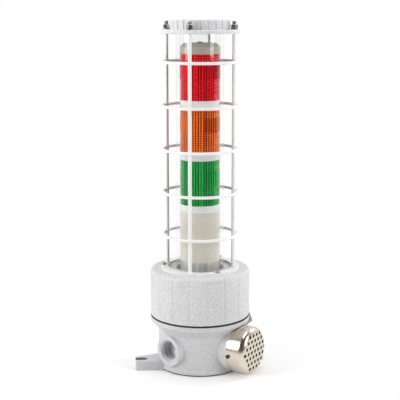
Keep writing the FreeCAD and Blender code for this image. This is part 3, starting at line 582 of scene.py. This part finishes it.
def only(piece):
    """Makes one object the selected and active one."""
    bpy.ops.object.select_all(action="DESELECT")
    piece.select_set(True)
    bpy.context.view_layer.objects.active = piece


def apply_place(piece):
    """Puts an object's place into its mesh."""
    only(piece)
    bpy.ops.object.transform_apply(location=True, rotation=True, scale=True)


def apply_modifier(piece, kind, **settings):
    """Adds a modifier and applies it."""
    only(piece)
    bpy.ops.object.modifier_add(type=kind)
    modifier = piece.modifiers[-1]
    for key, value in settings.items():
        setattr(modifier, key, value)
    bpy.ops.object.modifier_apply(modifier=modifier.name)


def clear_picks(piece):
    """Deselects every part of a mesh, so that code can pick some of it."""
    only(piece)
    bpy.ops.object.mode_set(mode="EDIT")
    bpy.ops.mesh.select_all(action="DESELECT")
    bpy.ops.object.mode_set(mode="OBJECT")


def tidy_mesh(piece):
    """Merges doubles, closes small holes and turns the faces outwards."""
    only(piece)
    bpy.ops.object.mode_set(mode="EDIT")
    bpy.ops.mesh.select_all(action="SELECT")
    bpy.ops.mesh.remove_doubles(threshold=MERGE_REACH)
    bpy.ops.mesh.fill_holes(sides=HOLE_SIDES)
    bpy.ops.mesh.select_all(action="SELECT")
    bpy.ops.mesh.normals_make_consistent(inside=False)
    bpy.ops.object.mode_set(mode="OBJECT")


def joined(pieces, name):
    """Joins copies into one object."""
    only(pieces[0])
    for piece in pieces:
        piece.select_set(True)
    bpy.ops.object.join()
    whole = bpy.context.object
    whole.name = name
    return whole


def copied(piece):
    """Copy of an object with its own mesh."""
    twin = piece.copy()
    twin.data = piece.data.copy()
    bpy.context.collection.objects.link(twin)
    return twin


def dress(piece, material, body):
    """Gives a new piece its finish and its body."""
    only(piece)
    bpy.ops.object.shade_smooth_by_angle(angle=SMOOTH_ANGLE)
    piece.data.materials.clear()
    piece.data.materials.append(material)
    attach(piece, body)


def thread_ridge(name, foot_r, crest_r, pitch, low, high):
    """Helical thread ridge about +Z between two heights, on a foot radius."""
    bpy.ops.object.select_all(action="DESELECT")
    bpy.ops.mesh.primitive_plane_add(size=pitch)
    piece = bpy.context.object
    piece.name = name
    bpy.ops.object.mode_set(mode="EDIT")
    bpy.ops.mesh.delete(type="ONLY_FACE")
    bpy.ops.object.mode_set(mode="OBJECT")
    foot = foot_r - math.copysign(SINK, crest_r - foot_r)
    for vertex in piece.data.vertices:
        at_crest = vertex.co.x > 0
        half_wide = (CREST_SHARE if at_crest else FOOT_SHARE) * pitch
        height = math.copysign(half_wide, vertex.co.y)
        vertex.co = (crest_r if at_crest else foot, 0.0, height)
    turns = int((high - low) / pitch) - 1
    apply_modifier(
        piece,
        "SCREW",
        screw_offset=pitch,
        iterations=turns,
        steps=THREAD_STEPS,
        render_steps=THREAD_STEPS,
    )
    piece.location.z = low + 0.5 * pitch
    apply_place(piece)
    tidy_mesh(piece)
    return piece


def neck_thread():
    """Thread on the housing's neck."""
    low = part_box("cover_gasket")[1].z
    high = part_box("lamp_plate")[1].z
    return thread_ridge("neck_thread", NECK_R, NECK_R + NECK_THREAD_DEPTH, NECK_PITCH, low, high)


def entry_wall():
    """Radius and length of the conduit entry's wall."""
    dims = MOUNTS["conduit_entry"]["dims"]
    return dims["r_mm"] / 1000, dims["length_mm"] / 1000


def set_in_entry(piece, depth):
    """Lays a piece made about +Z on the conduit entry's axis, some way in from the wall's middle."""
    middle = Vector(MOUNTS["conduit_entry"]["pos_m"])
    inwards = -Vector((middle.x, middle.y, 0.0)).normalized()
    piece.rotation_euler = inwards.to_track_quat("Z", "Y").to_euler()
    piece.location = middle + depth * inwards
    apply_place(piece)


def entry_thread():
    """Thread inside the conduit entry."""
    wall_r, wall = entry_wall()
    crest_r = wall_r - ENTRY_THREAD_DEPTH
    piece = thread_ridge("conduit_thread", wall_r, crest_r, ENTRY_PITCH, -wall / 2, wall / 2)
    set_in_entry(piece, 0.0)
    return piece


def wire_bush():
    """Plastic bush that keeps wires off the inner edge of the conduit entry."""
    bpy.ops.object.select_all(action="DESELECT")
    bpy.ops.mesh.primitive_circle_add(vertices=BUSH_SIDES, radius=BUSH_R, fill_type="NGON")
    bush = bpy.context.object
    bush.name = "wire_bush"
    bpy.ops.object.mode_set(mode="EDIT")
    bpy.ops.mesh.select_all(action="SELECT")
    bpy.ops.mesh.inset(thickness=BUSH_R - BUSH_HOLE_R)
    bpy.ops.mesh.delete(type="FACE")
    bpy.ops.object.mode_set(mode="OBJECT")
    apply_modifier(bush, "SOLIDIFY", thickness=BUSH_T, offset=0.0)
    apply_modifier(bush, "BEVEL", width=BUSH_EDGE, segments=BUSH_EDGE_STEPS)
    tidy_mesh(bush)
    wall = entry_wall()[1]
    set_in_entry(bush, (wall + BUSH_T) / 2 - SINK)
    return bush


def rod_centre(number):
    """Middle of a guard rod's top end, and its radius."""
    low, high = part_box(f"guard_rod_{number}")
    return Vector(((low.x + high.x) / 2, (low.y + high.y) / 2, high.z)), (high.x - low.x) / 2


def stud_threads():
    """Threads on the rod ends above the nuts."""
    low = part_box("rod_nuts")[1].z
    centre, rod_r = rod_centre(1)
    crest_r = rod_r + STUD_THREAD_DEPTH
    pattern = thread_ridge("stud_thread", rod_r, crest_r, STUD_PITCH, low, centre.z)
    pieces = []
    for number in range(1, ROD_COUNT + 1):
        twin = copied(pattern)
        centre = rod_centre(number)[0]
        twin.location = (centre.x, centre.y, 0.0)
        apply_place(twin)
        pieces.append(twin)
    bpy.data.objects.remove(pattern)
    return joined(pieces, "stud_threads")


def shrink_end(piece, way, centre):
    """Narrows the flat end of a stub that faces one way, so that it dives into the wire it covers."""
    clear_picks(piece)
    for face in piece.data.polygons:
        near = (face.center - centre).length < WELD_END_REACH
        face.select = face.normal.dot(way) > WELD_END_FACING and near
    bpy.ops.object.mode_set(mode="EDIT")
    bpy.ops.mesh.select_mode(type="FACE")
    bpy.ops.transform.resize(value=(WELD_END, WELD_END, WELD_END), center_override=centre)
    bpy.ops.mesh.select_mode(type="VERT")
    bpy.ops.object.mode_set(mode="OBJECT")


def rod_stub(reach, rod_r):
    """Short length of a rod under a weld, on the +X side."""
    bpy.ops.object.select_all(action="DESELECT")
    bpy.ops.mesh.primitive_cylinder_add(
        vertices=WELD_SIDES, radius=rod_r + WELD_SWELL, depth=2 * WELD_REACH
    )
    stub = bpy.context.object
    stub.location.x = reach
    apply_place(stub)
    for side in (-1.0, 1.0):
        shrink_end(stub, Vector((0.0, 0.0, side)), Vector((reach, 0.0, side * WELD_REACH)))
    return stub


def ring_stub(ring_r, wire_r):
    """Short arc of a ring under a weld, on the +X side."""
    half = WELD_REACH / ring_r
    bpy.ops.object.select_all(action="DESELECT")
    bpy.ops.mesh.primitive_circle_add(
        vertices=WELD_SIDES, radius=wire_r + WELD_SWELL, fill_type="NGON"
    )
    stub = bpy.context.object
    stub.rotation_euler = (math.pi / 2, 0.0, 0.0)
    stub.location.x = ring_r
    apply_place(stub)
    stub.rotation_euler.z = -half
    apply_place(stub)
    bpy.ops.object.mode_set(mode="EDIT")
    bpy.ops.mesh.select_all(action="SELECT")
    bpy.ops.mesh.spin(
        steps=WELD_STEPS, angle=-2 * half, center=(0.0, 0.0, 0.0), axis=(0.0, 0.0, 1.0)
    )
    bpy.ops.object.mode_set(mode="OBJECT")
    tidy_mesh(stub)
    return stub


def guard_welds():
    """Weld fillets where the rings cross the rods."""
    centre, rod_r = rod_centre(1)
    low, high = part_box("guard_ring_1")
    wire_r = (high.z - low.z) / 2
    ring_r = (high.x - low.x) / 2 - wire_r
    pattern = joined([rod_stub(centre.xy.length, rod_r), ring_stub(ring_r, wire_r)], "guard_weld")
    apply_modifier(pattern, "REMESH", mode="VOXEL", voxel_size=WELD_VOXEL)
    apply_modifier(pattern, "SMOOTH", factor=WELD_SOFTNESS, iterations=WELD_SOFT_ROUNDS)
    pieces = []
    for rod in range(1, ROD_COUNT + 1):
        centre = rod_centre(rod)[0]
        for ring in range(1, RING_COUNT + 1):
            low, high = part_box(f"guard_ring_{ring}")
            twin = copied(pattern)
            twin.rotation_euler.z = math.atan2(centre.y, centre.x)
            twin.location.z = (low.z + high.z) / 2
            apply_place(twin)
            pieces.append(twin)
    bpy.data.objects.remove(pattern)
    return joined(pieces, "guard_welds")


def foot_beads():
    """Weld beads where the rods stand on the foot ring."""
    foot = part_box("guard_foot_ring")[1].z
    rod_r = rod_centre(1)[1]
    wave = bpy.data.textures.new("bead_wave", "CLOUDS")
    wave.noise_scale = BEAD_WAVE_SIZE
    pieces = []
    for rod in range(1, ROD_COUNT + 1):
        centre = rod_centre(rod)[0]
        bpy.ops.object.select_all(action="DESELECT")
        bpy.ops.mesh.primitive_torus_add(
            major_radius=rod_r + BEAD_OFFSET,
            minor_radius=BEAD_R,
            major_segments=BEAD_SEGMENTS[0],
            minor_segments=BEAD_SEGMENTS[1],
        )
        bead = bpy.context.object
        for vertex in bead.data.vertices:
            vertex.co.z = max(vertex.co.z, -SINK)
        bead.location = (centre.x, centre.y, foot)
        apply_place(bead)
        apply_modifier(bead, "DISPLACE", texture=wave, strength=BEAD_WAVE, texture_coords="GLOBAL")
        tidy_mesh(bead)
        pieces.append(bead)
    return joined(pieces, "foot_beads")


def lens_ribs(colour_name):
    """Sleeve of upright ribs inside a lens."""
    low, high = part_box(f"lens_{colour_name}")
    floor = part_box(f"led_board_{colour_name}")[0].z + LENS_WALL
    top = high.z - RIB_GAP
    outer = (high.x - low.x) / 2 - LENS_WALL - RIB_GAP
    vertex_count = RIB_VERTICES * RIB_COUNT
    bpy.ops.object.select_all(action="DESELECT")
    bpy.ops.mesh.primitive_cylinder_add(
        vertices=vertex_count, radius=outer, depth=top - floor, end_fill_type="NOTHING"
    )
    sleeve = bpy.context.object
    sleeve.name = f"{colour_name}_lens_ribs"
    sleeve.location.z = (top + floor) / 2
    apply_place(sleeve)
    for share, phases in RIB_PINCH:
        clear_picks(sleeve)
        for vertex in sleeve.data.vertices:
            turn = math.atan2(vertex.co.y, vertex.co.x) / math.tau * vertex_count
            vertex.select = round(turn) % RIB_VERTICES in phases
        bpy.ops.object.mode_set(mode="EDIT")
        pinch = 1.0 - share * RIB_DEPTH / outer
        bpy.ops.transform.resize(value=(pinch, pinch, 1.0), center_override=(0.0, 0.0, 0.0))
        bpy.ops.object.mode_set(mode="OBJECT")
    apply_modifier(sleeve, "SOLIDIFY", thickness=RIB_WALL, offset=-1.0)
    return sleeve


def add_camera():
    """Camera at the photo's own view."""
    spot = (
        CAMERA_REACH * math.sin(CAMERA_AZIMUTH),
        -CAMERA_REACH * math.cos(CAMERA_AZIMUTH),
        CAMERA_HEIGHT,
    )
    turn = (math.pi / 2 - CAMERA_PITCH, 0.0, CAMERA_AZIMUTH)
    bpy.ops.object.camera_add(location=spot, rotation=turn)
    camera = bpy.context.object
    camera.data.sensor_width = SENSOR_MM
    camera.data.lens = SENSOR_MM * FOCAL_PX / IMAGE_PX
    bpy.context.scene.camera = camera


def add_softbox(name, azimuth, distance, height, size, power):
    """Elliptical area lamp that faces the object."""
    round_by = CAMERA_AZIMUTH + math.radians(azimuth)
    spot = Vector((distance * math.sin(round_by), -distance * math.cos(round_by), height))
    turn = (LIGHT_AIM - spot).to_track_quat("-Z", "Y").to_euler()
    bpy.ops.object.light_add(type="AREA", location=spot, rotation=turn)
    lamp = bpy.context.object
    lamp.name = name
    lamp.data.shape = "ELLIPSE"
    lamp.data.size = size[0]
    lamp.data.size_y = size[1]
    lamp.data.energy = power


def ray_is(shade, kind):
    """1 for one kind of ray."""
    return shade.node("ShaderNodeLightPath", (), (), f"Is {kind} Ray")


def backdrop(shade, place):
    """1 towards the white backdrop behind the object, 0 towards the dim room at the camera's side."""
    away = (-math.sin(CAMERA_AZIMUTH), math.cos(CAMERA_AZIMUTH), 0.0)
    depth = vector_math(shade, "DOT_PRODUCT", (place, away), "Value")
    return rise(shade, depth, *BACKDROP_EDGE)


def add_floor():
    """Pale floor that turns white away from the object."""
    bpy.ops.object.select_all(action="DESELECT")
    bpy.ops.mesh.primitive_circle_add(vertices=FLOOR_SIDES, radius=FLOOR_R, fill_type="NGON")
    floor = bpy.context.object
    floor.name = "studio_floor"
    material, s = new_finish("floor_white")
    place = object_place(s)
    distance = vector_math(s, "LENGTH", (place,), "Value")
    mirror = ray_is(s, "Glossy")
    shown = ray_is(s, "Camera") + ray_is(s, "Transmission") + mirror
    far = rise(s, distance, *FLOOR_FADE)
    distant = rise(s, distance, *FLOOR_END)
    matt = s.node("ShaderNodeBsdfDiffuse", (), {"Color": colour(FLOOR_TONE)})
    glow = s.node("ShaderNodeEmission", (), {"Color": colour(WHITE), "Strength": shown * FLOOR_GLOW})
    near = s.node("ShaderNodeAddShader", (), {0: matt, 1: glow})
    brightness = 1.0 - mirror * distant * (1.0 - backdrop(s, place)) * FLOOR_DIM
    white = s.node("ShaderNodeEmission", (), {"Color": colour(WHITE), "Strength": brightness})
    close_finish(s, mix_surfaces(s, far * shown, near, white))
    floor.data.materials.append(material)


def set_world():
    """White backdrop behind, dim room in front, and white for what the camera sees past the object."""
    world = bpy.data.worlds.new("studio_white")
    world.use_nodes = True
    world.node_tree.nodes.clear()
    s = Shade(world.node_tree)
    way = s.node("ShaderNodeTexCoord", (), (), "Generated")
    shown = ray_is(s, "Camera") + ray_is(s, "Transmission")
    room = ROOM_LIGHT - ray_is(s, "Glossy") * (ROOM_LIGHT - ROOM_MIRROR)
    strength = s.math("MAXIMUM", shown, room + backdrop(s, way) * (BACKDROP_LIGHT - room))
    light = s.node("ShaderNodeBackground", (), {"Color": colour(WHITE), "Strength": strength})
    s.node("ShaderNodeOutputWorld", (), {"Surface": light})
    bpy.context.scene.world = world


# Finishes of the frame's pieces
# The cover and the housing get painted shade from their masks
cover_paint = hammered_paint(
    "cover_hammered_paint", (0.55, 0.55, 0.56), (0.76, 0.76, 0.77), 0.0022, 0.00018, cover_painted_shade
)
housing_paint = hammered_paint(
    "housing_hammered_paint", (0.56, 0.56, 0.57), (0.68, 0.68, 0.69), 0.0026, 0.0001, housing_painted_shade
)
cap_paint = hammered_paint("cap_hammered_paint", (0.58, 0.58, 0.59), (0.82, 0.82, 0.83), 0.0022, 0.00018)
guard_enamel = white_enamel("guard_enamel")
cap_steel = polished_steel("sounder_cap_steel", (0.78, 0.7, 0.6), 0.2, 0.1)
screw_steel = polished_steel("screw_steel", (0.5, 0.49, 0.48), 0.25, 0.2)
dark_steel = polished_steel("dark_steel", (0.11, 0.105, 0.1), 0.3, 0.2)
plate_steel = polished_steel("plate_steel", (0.62, 0.62, 0.62), 0.3, 0.2)
zinc_steel = polished_steel("zinc_steel", (0.8, 0.8, 0.79), 0.12, 0.15)
brass = polished_steel("brass", (0.72, 0.56, 0.28), 0.25, 0.2)
bronze = polished_steel("sintered_bronze", (0.45, 0.3, 0.16), 0.6, 0.3)
rubber = moulded_plastic("black_rubber", (0.012, 0.012, 0.012), (0.03, 0.03, 0.03), 0.6)
seal_rubber = moulded_plastic("grey_seal_rubber", (0.42, 0.42, 0.41), (0.5, 0.5, 0.49), 0.6)
glass = tube_glass("tube_glass")
body_plastic = moulded_plastic("lamp_body_plastic", (0.66, 0.6, 0.52), (0.73, 0.67, 0.59), 0.3)
# Lamp base with painted highlight streaks
base_plastic = moulded_plastic("lamp_base_plastic", (0.36, 0.36, 0.34), (0.68, 0.68, 0.65), 0.2, streak_stretch=0.05)
lamp_cap_plastic = moulded_plastic("lamp_cap_plastic", (0.43, 0.375, 0.315), (0.48, 0.43, 0.37), 0.35)
ring_plastic = moulded_plastic("silver_module_ring", (0.8, 0.8, 0.81), (0.88, 0.88, 0.88), 0.22, coat=0.5)
dark_plastic = moulded_plastic("dark_plastic", (0.02, 0.02, 0.02), (0.05, 0.05, 0.05), 0.4)
board = moulded_plastic("circuit_board", (0.02, 0.12, 0.05), (0.04, 0.2, 0.08), 0.35)
bush_plastic = moulded_plastic("wire_bush_plastic", (0.78, 0.78, 0.78), (0.86, 0.86, 0.86), 0.4)
led_face = moulded_plastic("led_face", (0.75, 0.7, 0.45), (0.9, 0.86, 0.62), 0.2)

NODE_FINISH = {
    "base_housing": housing_paint,
    "cover": cover_paint,
    "top_cap": cap_paint,
    "guard_foot_ring": guard_enamel,
    "rod_spring_washers": dark_steel,
    "rod_nuts": zinc_steel,
    "sounder_cap": cap_steel,
    "sounder_cap_screws": dark_steel,
    "sounder_body": dark_plastic,
    "flame_arrestor": bronze,
    "sounder_retaining_ring": plate_steel,
    "terminal_block": dark_plastic,
    "terminal_screws": brass,
    "earth_screw_inner": brass,
    "lamp_plate": plate_steel,
    "lamp_base": base_plastic,
    "lamp_lower_body": body_plastic,
    "lamp_upper_body": body_plastic,
    "lamp_cap": lamp_cap_plastic,
    "driver_board": board,
    "cover_gasket": rubber,
    "lower_glass_seal": seal_rubber,
    "upper_glass_seal": seal_rubber,
    "glass_tube": glass,
}
for colour_name in COLOURS:
    NODE_FINISH[f"lens_{colour_name}"] = lens_plastic(colour_name, *LENS_COLOURS[colour_name])
    NODE_FINISH[f"module_ring_{colour_name}"] = ring_plastic
    NODE_FINISH[f"led_board_{colour_name}"] = board
    NODE_FINISH[f"leds_{colour_name}"] = led_face
for number in range(1, ROD_COUNT + 1):
    NODE_FINISH[f"guard_rod_{number}"] = guard_enamel
for number in range(1, RING_COUNT + 1):
    NODE_FINISH[f"guard_ring_{number}"] = guard_enamel

# Every other piece is a steel screw, rod, nut or washer
for node_name, node in NODES.items():
    node.data.materials.clear()
    node.data.materials.append(NODE_FINISH.get(node_name, screw_steel))

# Added detail
dress(neck_thread(), housing_paint, "base")
dress(entry_thread(), housing_paint, "base")
dress(wire_bush(), bush_plastic, "base")
dress(stud_threads(), dark_steel, "cover")
dress(guard_welds(), guard_enamel, "cover")
dress(foot_beads(), guard_enamel, "cover")
for colour_name in COLOURS:
    ribs = rib_plastic(colour_name, *LENS_COLOURS[colour_name])
    dress(lens_ribs(colour_name), ribs, "base")

# Studio
add_camera()
set_world()
add_floor()
for softbox_name, placing in SOFTBOXES.items():
    add_softbox(softbox_name, *placing)
bpy.context.scene.view_settings.view_transform = "Standard"
